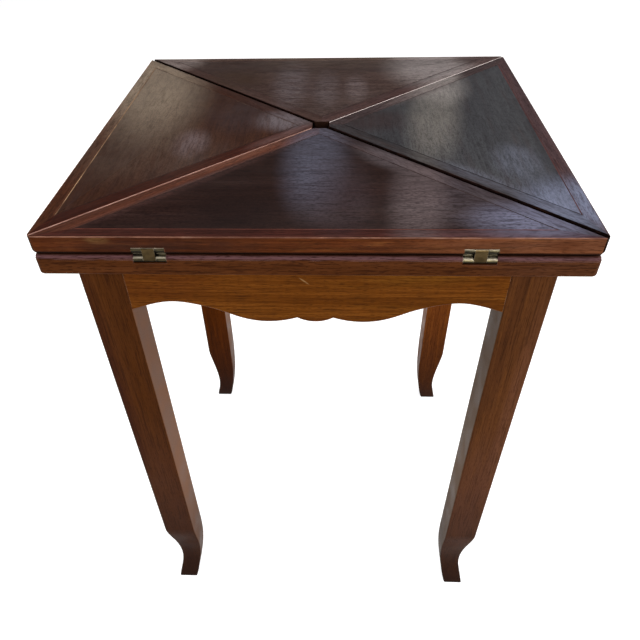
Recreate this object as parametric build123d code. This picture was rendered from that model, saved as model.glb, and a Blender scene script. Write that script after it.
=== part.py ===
from build123d import *
import math
import os

# An envelope card table. A square bed carries four triangular flaps that meet
# at its middle. The top swivels an eighth of a turn on its frame, so that the
# opened flaps rest on the tops of the four legs.
# Sizes are in millimetres and angles in degrees. The origin is on the floor
# under the middle of the table, +Z is up and the front of the table faces -Y.

# Whole table
table_height = 744.0
top_side = 600.0
top_overhang = 29.0
top_corner_radius = 7.0

# Layers of the folded top
bed_thickness = 23.5
flap_thickness = 21.7
fold_gap = 0.4
glide_thickness = 0.8
glide_gap = 0.2

# Edges of the bed and flaps
flap_inner_edge_radius = 6.0
bed_upper_edge_radius = 4.5
bed_step_width = 0.6
bed_step_drop = 5.2
bed_step_arris = 0.3
bed_lower_edge_radius = 2.5
flap_arris_radius = 1.0
mitre_arris = 0.7
wide_mitre_gap = 4.0
tight_mitre_gap = 0.6
finger_hole_side = 22.0
tip_corner_radius = 2.5

# Baize on the playing faces
baize_thickness = 0.9
baize_recess = 1.0
baize_margin = 30.0
baize_clearance = 0.15
baize_corner_radius = 3.0

# Legs
leg_width = 51.0
leg_arris_radius = 2.5
foot_height = 158.0
glide_side = 36.0

# Slices of the foot: height as a share of foot_height, then the places of the
# outer and inner faces as shares of leg_width, from the outer face of the blank
foot_slice_shares = [
    (0.000, 0.000, 0.640),
    (0.063, 0.045, 0.704),
    (0.139, 0.108, 0.763),
    (0.228, 0.176, 0.822),
    (0.329, 0.224, 0.882),
    (0.430, 0.238, 0.931),
    (0.544, 0.219, 0.970),
    (0.658, 0.172, 0.991),
    (0.772, 0.106, 0.999),
    (0.886, 0.039, 1.000),
    (0.955, 0.008, 1.000),
    (1.000, 0.000, 1.000),
]

# Aprons
apron_thickness = 22.0
apron_depth = 83.0
apron_setback = 1.0
apron_arris = 0.8

# Lower edge of an apron, from the leg to the cusp beside the middle lobe:
# shares of the half span, then shares of apron_depth below the frame's top
apron_edge_shares = [
    (1.000, 0.808),
    (0.900, 0.722),
    (0.774, 0.664),
    (0.640, 0.712),
    (0.520, 0.808),
    (0.408, 0.932),
    (0.265, 1.000),
    (0.168, 0.977),
    (0.098, 0.928),
]
middle_lobe_share = 0.997

# Mortise and tenon joints of the frame
tenon_length = 22.0
tenon_thickness = 9.0
tenon_height = 44.0
tenon_drop = 8.0
joint_clearance = 0.1
mortise_end_gap = 1.0

# Corner blocks
block_reach_past_leg = 58.0
block_height = 32.0
block_drop = 2.0
block_screw_past_leg = 26.0
block_screw_bite = 14.0
block_counterbore_depth = 10.0

# Pivot rail under the middle of the top
rail_width = 86.0
rail_thickness = 22.0
rail_tongue_length = 10.0
rail_tongue_width = 60.0
rail_tongue_thickness = 10.0

# Swivel
swivel_angle = 45.0
pivot_plate_radius = 48.0
pivot_plate_thickness = 3.5
pivot_plate_gap = 0.3
pivot_screw_circle_radius = 37.0
pivot_screw_count = 4
pivot_screw_start_angle = 45.0
stem_radius = 7.0
stem_clearance = 0.08
stem_end = 3.0
bush_wall = 3.0
bush_flange_radius = 15.0
bush_flange_thickness = 1.5
washer_radius = 17.0
washer_thickness = 2.0
washer_gap = 0.3
nut_sides = 6
nut_flats = 22.0
nut_height = 9.0
nut_chamfer = 1.2

# Stop peg that turns in a curved slot of the rail
peg_radius = 4.0
peg_circle_radius = 62.0
peg_depth = 10.0
peg_end_gap = 3.0
peg_clearance = 0.5

# Double pin link hinges
hinge_offset = 174.0
hinge_width = 35.6
hinge_pin_depth = 5.6
hinge_pin_setback = 3.4
hinge_pin_radius = 1.2
hinge_pin_clearance = 0.06
barrel_radius = 3.1
link_width = 13.5
link_side_gap = 0.3
link_turn_gap = 0.35
leaf_length = 22.0
leaf_thickness = 2.2
leaf_corner_radius = 4.0
ear_setback = 4.6
leaf_side_clearance = 0.15
notch_clearance = 0.4

# Screws
leaf_screw_spread = 12.0
leaf_screw_setback = 8.2
tail_screw_setback = 16.8
leaf_screw_length = 14.0
leaf_screw_radius = 1.5
leaf_screw_head_radius = 3.1
block_screw_radius = 2.2
block_screw_head_radius = 4.2
block_screw_slot = 1.0
leaf_screw_slot = 0.8
pivot_screw_length = 16.0
pivot_screw_radius = 2.0
pivot_screw_head_radius = 4.0
screw_clearance = 0.05
screw_end_gap = 0.4
cut_overrun = 2.0

# Places that follow from the sizes above
quarter_turn = 90.0
root_two = math.sqrt(2)
root_three = math.sqrt(3)
top_half = top_side / 2
frame_half = top_half - top_overhang
flap_bottom = table_height - flap_thickness
bed_top = flap_bottom - fold_gap
bed_bottom = bed_top - bed_thickness
frame_top = bed_bottom - glide_gap - glide_thickness
apron_half_span = frame_half - leg_width
apron_front = frame_half - apron_setback
apron_back = apron_front - apron_thickness
apron_middle = apron_front - apron_thickness / 2
block_reach = leg_width - apron_setback - apron_thickness + block_reach_past_leg
block_screw_place = leg_width - apron_setback - apron_thickness + block_screw_past_leg
tenon_middle = frame_top - tenon_drop - tenon_height / 2
rail_top = bed_bottom - pivot_plate_thickness - pivot_plate_gap
rail_bottom = rail_top - rail_thickness
fold_middle = bed_top + fold_gap / 2
pin_spacing = 2 * hinge_pin_depth + fold_gap
knuckle_length = (hinge_width - link_width) / 2 - link_side_gap
knuckle_back = hinge_pin_setback + barrel_radius + link_turn_gap
leaf_reach = hinge_pin_setback + leaf_length
leaf_screw_places = [
    (-leaf_screw_spread, hinge_pin_setback + leaf_screw_setback),
    (leaf_screw_spread, hinge_pin_setback + leaf_screw_setback),
    (0, hinge_pin_setback + tail_screw_setback),
]
side_turn_count = {"front": 0, "right": 1, "back": 2, "left": 3}
corner_turn_count = {"front_left": 0, "front_right": 1, "back_right": 2, "back_left": 3}


def turned(shape, turns):
    """A front or front left piece carried round to another side or corner."""
    return Rot(0, 0, quarter_turn * turns) * shape


def rounded_slab(inset, thickness, lower_radius, upper_radius):
    """A board with the plan of the folded top, drawn in and rounded along both rims."""
    side = top_side - 2 * inset
    slab = extrude(RectangleRounded(side, side, top_corner_radius - inset), thickness)
    slab = fillet(slab.faces().sort_by(Axis.Z)[0].edges(), lower_radius)
    return fillet(slab.faces().sort_by(Axis.Z)[-1].edges(), upper_radius)


def wood_screw(length, radius, head_radius, slot_width):
    """A countersunk slotted screw whose head's face lies at z = 0."""
    cone_depth = head_radius - radius
    outline = Polyline(
        (0, 0),
        (head_radius, 0),
        (radius, -cone_depth),
        (radius, radius - length),
        (0, -length),
        close=True,
    )
    screw = revolve(Plane.XZ * make_face(outline), Axis.Z)
    slot = Box(2 * head_radius, slot_width, slot_width)
    return screw - slot


def screw_hole(length, radius, head_radius):
    """The countersunk hole that a wood screw fills."""
    grown_radius = radius + screw_clearance
    grown_head = head_radius + screw_clearance
    outline = Polyline(
        (0, cut_overrun),
        (grown_head, cut_overrun),
        (grown_head, 0),
        (grown_radius, grown_radius - grown_head),
        (grown_radius, -length - screw_end_gap),
        (0, -length - screw_end_gap),
        close=True,
    )
    return revolve(Plane.XZ * make_face(outline), Axis.Z)


def pilot_hole(length, radius):
    """The plain hole in the wood below a screwed leaf or plate."""
    depth = length + screw_end_gap + cut_overrun
    hole = Cylinder(radius + screw_clearance, depth, align=(Align.CENTER, Align.CENTER, Align.MAX))
    return Pos(0, 0, cut_overrun) * hole


# Legs

def leg_slice(height, outer, inner):
    """A level slice of the front left leg, from its outer to its inner faces."""
    middle = (outer + inner) / 2 - frame_half
    square = RectangleRounded(inner - outer, inner - outer, leg_arris_radius)
    return Pos(middle, middle, height) * square


def tenon(length, growth):
    """The left tenon of the front apron, grown all round for its mortise."""
    block = Box(
        length,
        tenon_thickness + 2 * growth,
        tenon_height + 2 * growth,
        align=(Align.MAX, Align.CENTER, Align.CENTER),
    )
    return Pos(-apron_half_span, -apron_middle, tenon_middle) * block


def leg():
    """The front left leg: a square post that is sawn to a hoofed foot."""
    slices = [
        leg_slice(height * foot_height, outer * leg_width, inner * leg_width)
        for height, outer, inner in foot_slice_shares
    ]
    post = extrude(leg_slice(foot_height, 0, leg_width), frame_top - foot_height)
    mortise = tenon(tenon_length + mortise_end_gap, joint_clearance)
    side_mortise = turned(mirror(mortise, Plane.YZ), side_turn_count["left"])
    return post + loft(slices) - mortise - side_mortise


def glide():
    """The felt pad on top of the front left leg."""
    middle = leg_width / 2 - frame_half
    pad = RectangleRounded(glide_side, glide_side, leg_arris_radius)
    return extrude(Pos(middle, middle, frame_top) * pad, glide_thickness)


# Aprons

def apron_face():
    """The front view of an apron between its two legs."""
    edge_points = [
        (-across * apron_half_span, frame_top - down * apron_depth)
        for across, down in apron_edge_shares
    ]
    leg_x, leg_z = edge_points[0]
    cusp_x, cusp_z = edge_points[-1]
    left_edge = Spline(*edge_points)
    right_edge = mirror(left_edge, Plane.YZ)
    lobe_bottom = (0, frame_top - middle_lobe_share * apron_depth)
    lobe = ThreePointArc((cusp_x, cusp_z), lobe_bottom, (-cusp_x, cusp_z))
    rim = Polyline(
        (leg_x, leg_z),
        (leg_x, frame_top),
        (-leg_x, frame_top),
        (-leg_x, leg_z),
    )
    return make_face(left_edge + right_edge + lobe + rim)


def rail_tongue(length, growth):
    """The front tongue of the pivot rail, grown all round for its housing."""
    block = Box(
        rail_tongue_width + 2 * growth,
        length,
        rail_tongue_thickness + 2 * growth,
        align=(Align.CENTER, Align.MAX, Align.CENTER),
    )
    return Pos(0, -apron_back, rail_top - rail_thickness / 2) * block


def block_screw_hole():
    """The hole of the front left block's screw in the front apron."""
    hole = screw_hole(block_screw_length(), block_screw_radius, block_screw_head_radius)
    return block_screw_place_on_front() * hole


def apron(carries_rail):
    """The front apron with its tenons, and with a housing if it holds the rail."""
    board = extrude(Plane.XZ * apron_face(), apron_thickness / 2, both=True)
    curved = board.edges().filter_by(GeomType.BSPLINE) + board.edges().filter_by(GeomType.CIRCLE)
    board = Pos(0, -apron_middle, 0) * chamfer(curved, apron_arris)
    left_tenon = tenon(tenon_length, 0)
    board = board + left_tenon + mirror(left_tenon, Plane.YZ)
    board = board - block_screw_hole() - mirror(block_screw_hole(), Plane.YZ)
    if carries_rail:
        board = board - rail_tongue(rail_tongue_length + mortise_end_gap, joint_clearance)
    return board


# Corner blocks

def block_screw_head_reach():
    """Distance of a block screw's head from the apron's inner face."""
    return block_reach - block_screw_place - block_counterbore_depth


def block_screw_length():
    """Length of a screw through a corner block into its apron."""
    return block_screw_head_reach() + block_screw_bite


def block_screw_place_on_front():
    """Where the front left block's screw enters towards the front apron."""
    across = block_screw_place - apron_back
    height = frame_top - block_drop - block_height / 2
    return Pos(across, block_screw_head_reach() - apron_back, height) * Rot(-quarter_turn, 0, 0)


def block_screw():
    """The screw of the front left block into the front apron."""
    screw = wood_screw(
        block_screw_length(),
        block_screw_radius,
        block_screw_head_radius,
        block_screw_slot,
    )
    return block_screw_place_on_front() * screw


def across_corner(shape):
    """A piece on the front of the front left corner, carried to its left side."""
    return turned(mirror(shape, Plane.YZ), side_turn_count["left"])


def corner_block():
    """The glued and screwed block behind the front left leg."""
    corner = -apron_back
    outline = Polyline(
        (corner, corner),
        (corner + block_reach, corner),
        (corner, corner + block_reach),
        close=True,
    )
    block = extrude(make_face(outline), -block_height)
    block = Pos(0, 0, frame_top - block_drop) * block
    room = leg_width + joint_clearance
    post = Box(room, room, 2 * table_height, align=(Align.MIN, Align.MIN, Align.CENTER))
    bore = Cylinder(
        block_screw_head_radius + screw_clearance,
        block_reach,
        align=(Align.CENTER, Align.CENTER, Align.MIN),
    )
    bore = block_screw_place_on_front() * bore
    hole = block_screw_hole()
    block = block - Pos(-frame_half, -frame_half, 0) * post
    return block - bore - hole - across_corner(bore) - across_corner(hole)


# Pivot rail and swivel

def pivot_rail():
    """The rail that crosses the frame from front to back under the pivot."""
    bar = Box(
        rail_width,
        2 * apron_back,
        rail_thickness,
        align=(Align.CENTER, Align.CENTER, Align.MAX),
    )
    bar = Pos(0, 0, rail_top) * bar
    tongue = rail_tongue(rail_tongue_length, 0)
    bar = bar + tongue + turned(tongue, side_turn_count["back"])
    bush_hole = Cylinder(stem_radius + bush_wall, 2 * rail_thickness)
    flange_room = Cylinder(
        bush_flange_radius + joint_clearance,
        2 * bush_flange_thickness,
    )
    bar = bar - Pos(0, 0, rail_top) * bush_hole - Pos(0, 0, rail_top) * flange_room
    end_angle = math.degrees(peg_clearance / peg_circle_radius)
    path = CenterArc(
        (0, 0),
        peg_circle_radius,
        quarter_turn - swivel_angle / 2 - end_angle,
        swivel_angle + 2 * end_angle,
    )
    slot = extrude(SlotArc(path, 2 * (peg_radius + peg_clearance)), rail_thickness + cut_overrun)
    return bar - Pos(0, 0, rail_bottom - cut_overrun / 2) * slot


def pivot_bush():
    """The flanged bush that lines the rail's hole."""
    sleeve_radius = stem_radius + bush_wall - screw_clearance
    sleeve = Cylinder(sleeve_radius, rail_thickness, align=(Align.CENTER, Align.CENTER, Align.MAX))
    flange = Cylinder(
        bush_flange_radius,
        bush_flange_thickness,
        align=(Align.CENTER, Align.CENTER, Align.MAX),
    )
    bore = Cylinder(stem_radius + stem_clearance, 2 * rail_thickness + cut_overrun)
    return Pos(0, 0, rail_top) * (sleeve + flange - bore)


def pivot_screw_spots():
    """Places of the screws that hold the pivot plate under the bed."""
    spots = PolarLocations(pivot_screw_circle_radius, pivot_screw_count, pivot_screw_start_angle)
    below = Pos(0, 0, bed_bottom - pivot_plate_thickness) * Rot(2 * quarter_turn, 0, 0)
    return [below * spot for spot in spots]


def stem_bottom():
    """Height of the lower end of the pivot's stem."""
    return rail_bottom - washer_gap - washer_thickness - nut_height - stem_end


def pivot_plate():
    """The plate under the bed with the stem that turns in the rail."""
    plate = Cylinder(
        pivot_plate_radius,
        pivot_plate_thickness,
        align=(Align.CENTER, Align.CENTER, Align.MAX),
    )
    stem = Cylinder(
        stem_radius,
        bed_bottom - stem_bottom(),
        align=(Align.CENTER, Align.CENTER, Align.MAX),
    )
    stem = chamfer(stem.faces().sort_by(Axis.Z)[0].edges(), nut_chamfer)
    pivot = Pos(0, 0, bed_bottom) * (plate + stem)
    hole = screw_hole(pivot_screw_length, pivot_screw_radius, pivot_screw_head_radius)
    for spot in pivot_screw_spots():
        pivot = pivot - spot * hole
    return pivot


def pivot_plate_screws():
    """The screws of the pivot plate."""
    screw = wood_screw(
        pivot_screw_length,
        pivot_screw_radius,
        pivot_screw_head_radius,
        block_screw_slot,
    )
    return [spot * screw for spot in pivot_screw_spots()]


def pivot_washer():
    """The washer between the rail and the nut."""
    ring = Circle(washer_radius) - Circle(stem_radius + stem_clearance)
    return Pos(0, 0, rail_bottom - washer_gap) * extrude(ring, -washer_thickness)


def pivot_nut():
    """The hexagon nut that keeps the top on its frame."""
    corner_radius = nut_flats / root_three
    nut = extrude(RegularPolygon(corner_radius, nut_sides), -nut_height)
    dome = Cylinder(corner_radius, nut_height, align=(Align.CENTER, Align.CENTER, Align.MAX))
    nut = nut & chamfer(dome.edges().filter_by(GeomType.CIRCLE), nut_chamfer)
    nut = nut - Cylinder(stem_radius + stem_clearance, 2 * nut_height + cut_overrun)
    return Pos(0, 0, rail_bottom - washer_gap - washer_thickness) * nut


def peg_place():
    """The stop peg's place under the bed while the flaps are folded."""
    angle = math.radians(quarter_turn - swivel_angle / 2)
    return Pos(
        peg_circle_radius * math.cos(angle),
        peg_circle_radius * math.sin(angle),
        bed_bottom,
    )


def stop_peg():
    """The peg under the bed that turns in the rail's slot and stops the swivel."""
    length = bed_bottom + peg_depth - rail_bottom - peg_end_gap
    peg = Cylinder(peg_radius, length, align=(Align.CENTER, Align.CENTER, Align.MAX))
    return peg_place() * Pos(0, 0, peg_depth) * peg


# Link hinges, drawn at the middle of the front edge of the bed: y runs inwards
# from the edge and z upwards from the bed's playing face

def hinge_spots():
    """Places of the two hinges of the front side, at the bed's upper edge."""
    return [Pos(side * hinge_offset, -top_half, bed_top) for side in (-1, 1)]


def above_fold(shape):
    """A piece of the bed's half of a hinge, mirrored to the flap's half."""
    return mirror(shape, Plane.XY.offset(fold_middle))


def above_bed(shape):
    """A piece drawn at the bed's half of a hinge, mirrored across the fold."""
    return mirror(shape, Plane.XY.offset(fold_gap / 2))


def leaf_plan(growth):
    """The plan of a hinge leaf, grown all round for its pocket."""
    width = hinge_width + 2 * growth
    reach = leaf_reach + growth
    plan = Rectangle(width, reach, align=(Align.CENTER, Align.MIN))
    return fillet(plan.vertices().group_by(Axis.Y)[-1], leaf_corner_radius)


def knuckle_profile():
    """The side view of a leaf's knuckle, its ear rising to the leaf."""
    ear = Rectangle(knuckle_back - ear_setback, hinge_pin_depth, align=(Align.MIN, Align.MAX))
    barrel = Circle(barrel_radius)
    return Pos(ear_setback, 0) * ear + Pos(hinge_pin_setback, -hinge_pin_depth) * barrel


def hinge_leaf():
    """A leaf with a knuckle at each side of the space for the link."""
    plate = extrude(leaf_plan(0), -leaf_thickness)
    front_room = Box(
        hinge_width + cut_overrun,
        2 * knuckle_back,
        2 * hinge_pin_depth,
    )
    leaf = plate - front_room
    knuckle = extrude(Plane.YZ * knuckle_profile(), knuckle_length)
    knuckle = Pos(link_width / 2 + link_side_gap, 0, 0) * knuckle
    leaf = leaf + knuckle + mirror(knuckle, Plane.YZ)
    leaf = leaf - hinge_pin(hinge_pin_clearance, cut_overrun)
    hole = screw_hole(leaf_screw_length, leaf_screw_radius, leaf_screw_head_radius)
    for x, y in leaf_screw_places:
        leaf = leaf - Pos(x, y, 0) * hole
    return leaf


def hinge_pin(growth, overrun):
    """The pin through a leaf's knuckles and the link, or its grown hole."""
    pin = Cylinder(hinge_pin_radius + growth, hinge_width + overrun)
    return Pos(0, hinge_pin_setback, -hinge_pin_depth) * Rot(0, quarter_turn, 0) * pin


def hinge_link():
    """The flat link with round ends that joins the bed's pin to the flap's pin."""
    middle = Pos(hinge_pin_setback, fold_gap / 2)
    plate = SlotCenterToCenter(pin_spacing, 2 * barrel_radius, rotation=quarter_turn)
    link = extrude(Plane.YZ * (middle * plate), link_width / 2, both=True)
    link = link - hinge_pin(hinge_pin_clearance, cut_overrun)
    return link - above_bed(hinge_pin(hinge_pin_clearance, cut_overrun))


def leaf_screws():
    """The screws of one hinge leaf."""
    screw = wood_screw(
        leaf_screw_length,
        leaf_screw_radius,
        leaf_screw_head_radius,
        leaf_screw_slot,
    )
    return [Pos(x, y, 0) * screw for x, y in leaf_screw_places]


def hinge_seat():
    """What is cut from the wood for one leaf, its knuckles and its screws."""
    pocket = extrude(leaf_plan(leaf_side_clearance), -leaf_thickness)
    pocket = pocket + extrude(leaf_plan(leaf_side_clearance), cut_overrun)
    notch_reach = knuckle_back + notch_clearance
    notch = Box(
        hinge_width + 2 * leaf_side_clearance,
        notch_reach + cut_overrun,
        hinge_pin_depth + barrel_radius + notch_clearance + cut_overrun,
        align=(Align.CENTER, Align.MAX, Align.MAX),
    )
    seat = pocket + Pos(0, notch_reach, cut_overrun) * notch
    for x, y in leaf_screw_places:
        seat = seat + Pos(x, y, 0) * pilot_hole(leaf_screw_length, leaf_screw_radius)
    return seat


# Bed

def bed_baize_plan(inset):
    """The plan of the bed's baize, drawn in by an inset."""
    side = top_side - 2 * (baize_margin + inset)
    return RectangleRounded(side, side, baize_corner_radius)


def bed_board():
    """The square bed that carries the hinges, the baize and the pivot plate."""
    lower_thickness = bed_thickness - bed_step_drop
    lower = rounded_slab(0, lower_thickness, bed_lower_edge_radius, bed_step_arris)
    upper = rounded_slab(bed_step_width, bed_thickness, bed_lower_edge_radius, bed_upper_edge_radius)
    board = Pos(0, 0, bed_bottom) * (lower + upper)
    recess = extrude(bed_baize_plan(0), baize_recess + cut_overrun)
    board = board - Pos(0, 0, bed_top - baize_recess) * recess
    seats = [spot * hinge_seat() for spot in hinge_spots()]
    for turns in side_turn_count.values():
        for seat in seats:
            board = board - turned(seat, turns)
    hole = pilot_hole(pivot_screw_length, pivot_screw_radius)
    for spot in pivot_screw_spots():
        board = board - spot * hole
    return board - peg_place() * Cylinder(peg_radius + screw_clearance, 2 * peg_depth)


def bed_baize():
    """The sheet of baize in the bed's recess."""
    sheet = extrude(bed_baize_plan(baize_clearance), baize_thickness)
    return Pos(0, 0, bed_top - baize_recess) * sheet


# Flaps, drawn on the front side and turned to the others

def flap_plan(left_gap, right_gap, inset, outer):
    """A flap's plan between its two mitres and its tip, drawn in by an inset."""
    left = root_two * (left_gap / 2 + inset)
    right = root_two * (right_gap / 2 + inset)
    triangle = make_face(
        Polyline(
            (left - outer, -outer),
            (outer - right, -outer),
            ((left - right) / 2, -(left + right) / 2),
            close=True,
        )
    )
    tip = finger_hole_side / 2 + inset
    reach = Rectangle(2 * outer, outer - tip, align=(Align.CENTER, Align.MIN))
    return triangle & (Pos(0, -outer) * reach)


def flap_board(left_gap, right_gap):
    """The front flap, sawn from a rounded board along its mitres."""
    board = rounded_slab(0, flap_thickness, flap_inner_edge_radius, flap_arris_radius)
    plan = flap_plan(left_gap, right_gap, 0, top_half + cut_overrun)
    plan = fillet(plan.vertices().group_by(Axis.Y)[-1], tip_corner_radius)
    wedge = extrude(plan, flap_thickness)
    rims = wedge.faces().filter_by(Axis.Z).edges()
    flap = Pos(0, 0, flap_bottom) * (board & chamfer(rims, mitre_arris))
    recess_plan = flap_plan(left_gap, right_gap, baize_margin, top_half - baize_margin)
    recess = extrude(recess_plan, baize_recess + cut_overrun)
    flap = flap - Pos(0, 0, flap_bottom - cut_overrun) * recess
    for spot in hinge_spots():
        flap = flap - above_fold(spot * hinge_seat())
    return flap


def flap_baize(left_gap, right_gap):
    """The sheet of baize in a flap's recess, facing the bed when folded."""
    inset = baize_margin + baize_clearance
    sheet = extrude(flap_plan(left_gap, right_gap, inset, top_half - inset), baize_thickness)
    return Pos(0, 0, flap_bottom + baize_recess - baize_thickness) * sheet


def frame_nodes():
    """The standing frame, by node name."""
    nodes = {}
    for corner, turns in corner_turn_count.items():
        nodes["leg_" + corner] = turned(leg(), turns)
        nodes["corner_block_" + corner] = turned(corner_block(), turns)
    for side, turns in side_turn_count.items():
        nodes["apron_" + side] = turned(apron(side in ("front", "back")), turns)
    corner_screws = [block_screw(), across_corner(block_screw())]
    nodes["corner_block_screws"] = Compound([
        turned(screw, turns) for turns in corner_turn_count.values() for screw in corner_screws
    ])
    nodes["glide_felts"] = Compound([turned(glide(), turns) for turns in corner_turn_count.values()])
    nodes["pivot_rail"] = pivot_rail()
    nodes["pivot_bush"] = pivot_bush()
    return nodes


def top_nodes():
    """The bed and everything that turns with it, by node name."""
    nodes = {
        "bed_board": bed_board(),
        "bed_baize": bed_baize(),
        "pivot_plate": pivot_plate(),
        "pivot_plate_screws": Compound(pivot_plate_screws()),
        "pivot_washer": pivot_washer(),
        "pivot_nut": pivot_nut(),
        "stop_peg": stop_peg(),
    }
    pins = []
    screws = []
    for side, turns in side_turn_count.items():
        leaves = [turned(spot * hinge_leaf(), turns) for spot in hinge_spots()]
        nodes["bed_leaves_" + side] = Compound(leaves)
        for spot in hinge_spots():
            pins.append(turned(spot * hinge_pin(0, 0), turns))
            screws.extend(turned(spot * screw, turns) for screw in leaf_screws())
    nodes["bed_hinge_pins"] = Compound(pins)
    nodes["bed_leaf_screws"] = Compound(screws)
    return nodes


def flap_nodes():
    """The four flaps with their halves of the hinges, and the links, by node name."""
    nodes = {}
    for side, turns in side_turn_count.items():
        gaps = (tight_mitre_gap, wide_mitre_gap)
        if side in ("right", "left"):
            gaps = (wide_mitre_gap, tight_mitre_gap)
        leaves = []
        links = []
        pins = []
        screws = []
        for spot in hinge_spots():
            leaves.append(turned(above_fold(spot * hinge_leaf()), turns))
            links.append(turned(spot * hinge_link(), turns))
            pins.append(turned(above_fold(spot * hinge_pin(0, 0)), turns))
            for screw in leaf_screws():
                screws.append(turned(above_fold(spot * screw), turns))
        nodes["flap_" + side] = turned(flap_board(*gaps), turns)
        nodes["flap_baize_" + side] = turned(flap_baize(*gaps), turns)
        nodes["flap_leaves_" + side] = Compound(leaves)
        nodes["hinge_links_" + side] = Compound(links)
        nodes["flap_hinge_pins_" + side] = Compound(pins)
        nodes["flap_leaf_screws_" + side] = Compound(screws)
    return nodes


os.makedirs("parts", exist_ok=True)
for name, shape in {**frame_nodes(), **top_nodes(), **flap_nodes()}.items():
    export_step(shape, "parts/" + name + ".step")
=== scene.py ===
"""The looks of the folding card table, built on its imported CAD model.

Lengths are in metres, in the frame of the CAD model: +Z is up, the front of the
table faces -Y and the origin lies on the floor under its middle. Sizes whose
names end in _mm are millimetres and sizes that end in _deg are degrees.
"""

import logging
import math
from dataclasses import dataclass, field, replace
from enum import Enum
from typing import Any

import bmesh
import bpy
from mathutils import Matrix, Vector


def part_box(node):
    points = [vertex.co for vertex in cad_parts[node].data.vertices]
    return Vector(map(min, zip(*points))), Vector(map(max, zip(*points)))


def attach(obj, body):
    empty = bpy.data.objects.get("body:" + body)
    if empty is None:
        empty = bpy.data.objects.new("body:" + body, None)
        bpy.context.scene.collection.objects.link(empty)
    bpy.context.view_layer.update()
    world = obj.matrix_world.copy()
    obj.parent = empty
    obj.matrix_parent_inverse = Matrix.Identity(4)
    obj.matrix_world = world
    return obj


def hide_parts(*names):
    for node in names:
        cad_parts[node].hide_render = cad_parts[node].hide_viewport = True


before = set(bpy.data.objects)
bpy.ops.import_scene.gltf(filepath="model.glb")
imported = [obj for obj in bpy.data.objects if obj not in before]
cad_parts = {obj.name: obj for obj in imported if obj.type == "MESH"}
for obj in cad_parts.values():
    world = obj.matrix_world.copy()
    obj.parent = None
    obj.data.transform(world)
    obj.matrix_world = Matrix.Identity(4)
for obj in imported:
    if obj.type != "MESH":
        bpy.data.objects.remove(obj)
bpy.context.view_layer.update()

log = logging.getLogger("card_table")
MM = 0.001
WHITE = (1.0, 1.0, 1.0, 1.0)
# The height of the folded top, and how far above and below it its painted sheens reach
TOP_HEIGHT = 0.744
SHEEN_DEPTH = 0.012
# The reach of a patch that runs as a stripe all round the table
ALL_ROUND = 10.0
# How far a level face may lie from the height that is asked for
SLACK = 0.05 * MM
# Limits on the upward part of a face's unit normal. A level face has more than
# LEVEL, a face with a slight round less than ROUNDED, a wall of the finger hole
# less than STEEP, a face that looks mostly up or down more than SLOPED and a
# rubbed arris more than SLANTED
LEVEL, ROUNDED, STEEP, SLOPED, SLANTED = 0.999, 0.995, 0.9, 0.7, 0.3
# The outward part of the unit normal of the hinged edge is more than this
OUTWARD = 0.99
# The cosine between a rounded arris and its flat faces where wear begins, and
# where it is full
ARRIS_TURN = (0.99, 0.86)

Material = bpy.types.Material
Mesh = bpy.types.Mesh
Node = bpy.types.Node
Object = bpy.types.Object
Socket = bpy.types.NodeSocket
Tree = bpy.types.NodeTree
Value = Node | Socket
Face = bmesh.types.BMFace
Surface = bmesh.types.BMesh
Pair = tuple[float, float]
Triple = tuple[float, float, float]
Four = tuple[float, float, float, float]


class Side(Enum):
    """A side of the table, by the quarter turns that carry the front to it."""

    FRONT = 0
    RIGHT = 1
    BACK = 2
    LEFT = 3

    @property
    def label(self) -> str:
        """The side's name in the CAD nodes."""
        return self.name.lower()

    @property
    def crosswise(self) -> bool:
        """Whether the side runs from the front to the back."""
        return self.value % 2 == 1

    @property
    def fibre(self) -> "Fibre":
        """How the fibre of a board along this side runs."""
        return Fibre.ALONG_Y if self.crosswise else Fibre.ALONG_X

    @property
    def to_front(self) -> Matrix:
        """The matrix that carries this side's points to the front."""
        return Matrix.Rotation(-self.value * math.pi / 2, 4, "Z")


class Corner(Enum):
    """A corner of the frame, by the quarter turns that carry the front left to it."""

    FRONT_LEFT = 0
    FRONT_RIGHT = 1
    BACK_RIGHT = 2
    BACK_LEFT = 3

    @property
    def label(self) -> str:
        """The corner's name in the CAD nodes."""
        return self.name.lower()


class Edge(Enum):
    """An edge of a flap, as seen from its own side of the table."""

    OUTER = "outer"
    LEFT = "left"
    RIGHT = "right"


class Fibre(Enum):
    """How the fibre of a board runs, by the turn in degrees that lays it along X."""

    ALONG_X = (0.0, 0.0, 0.0)
    ALONG_Y = (0.0, 0.0, -90.0)
    ALONG_Z = (0.0, 90.0, 0.0)
    RISING = (0.0, 0.0, -45.0)
    FALLING = (0.0, 0.0, 45.0)
    ROUND_RIM = (0.0, 0.0, 360.0)


# Colours and materials


def linear(colour: str) -> Four:
    """Turns a hex colour as the eye sees it into linear light.

    Args:
        colour: The sRGB colour, such as "#6a3c14".

    Returns:
        Red, green, blue and an alpha of 1.
    """
    shares = [int(colour[place : place + 2], 16) / 255 for place in (1, 3, 5)]
    red, green, blue = [
        share / 12.92 if share <= 0.04045 else ((share + 0.055) / 1.055) ** 2.4
        for share in shares
    ]
    return red, green, blue, 1.0


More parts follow.
